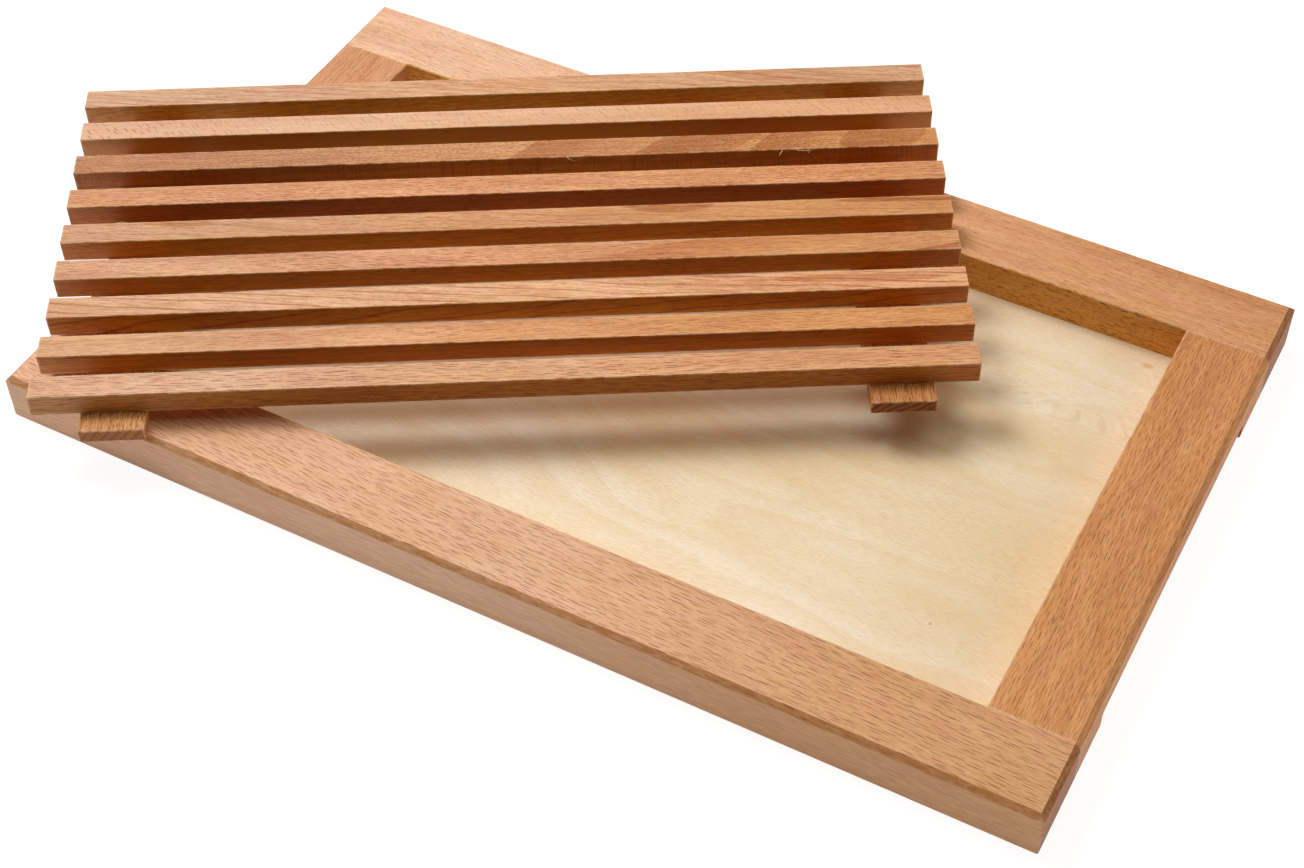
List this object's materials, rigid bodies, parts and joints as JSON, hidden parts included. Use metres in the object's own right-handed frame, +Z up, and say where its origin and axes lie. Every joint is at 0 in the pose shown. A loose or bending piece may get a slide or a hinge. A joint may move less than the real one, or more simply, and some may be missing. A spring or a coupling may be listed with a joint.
{
  "type": "bread board",
  "caption": "Wooden bread board: a shallow crumb tray with a plywood floor, and a loose slatted grid lying turned across it.",
  "frame": {"origin": "centre of the tray's flat underside", "axes": "+Z up, +X along the tray's long rails to its right end, +Y from the front rail to the back rail"},
  "size_m": [0.4614, 0.316, 0.0343],
  "materials": {
    "beech_rail": "planed, matt",
    "beech_slat": "planed, matt",
    "beech_batten": "planed, matt",
    "beech_dowel": "planed, matt",
    "plywood": "sanded, matt",
    "bright_steel": "bright"
  },
  "bodies": {
    "tray": {"front_rail": "beech_rail", "back_rail": "beech_rail", "left_rail": "beech_rail", "right_rail": "beech_rail", "floor_panel": "plywood", "floor_brads": "bright_steel", "dowels_front_left": "beech_dowel", "dowels_front_right": "beech_dowel", "dowels_back_left": "beech_dowel", "dowels_back_right": "beech_dowel"},
    "grid": {"slat_1": "beech_slat", "slat_2": "beech_slat", "slat_3": "beech_slat", "slat_4": "beech_slat", "slat_5": "beech_slat", "slat_6": "beech_slat", "slat_7": "beech_slat", "slat_8": "beech_slat", "slat_9": "beech_slat", "left_batten": "beech_batten", "right_batten": "beech_batten", "left_batten_brads": "bright_steel", "right_batten_brads": "bright_steel"}
  },
  "joints": [
    {"name": "grid_lift", "type": "slide", "parent": "tray", "child": "grid", "axis": [0, 0, 1], "range_m": [0, 0.1]}
  ]
}
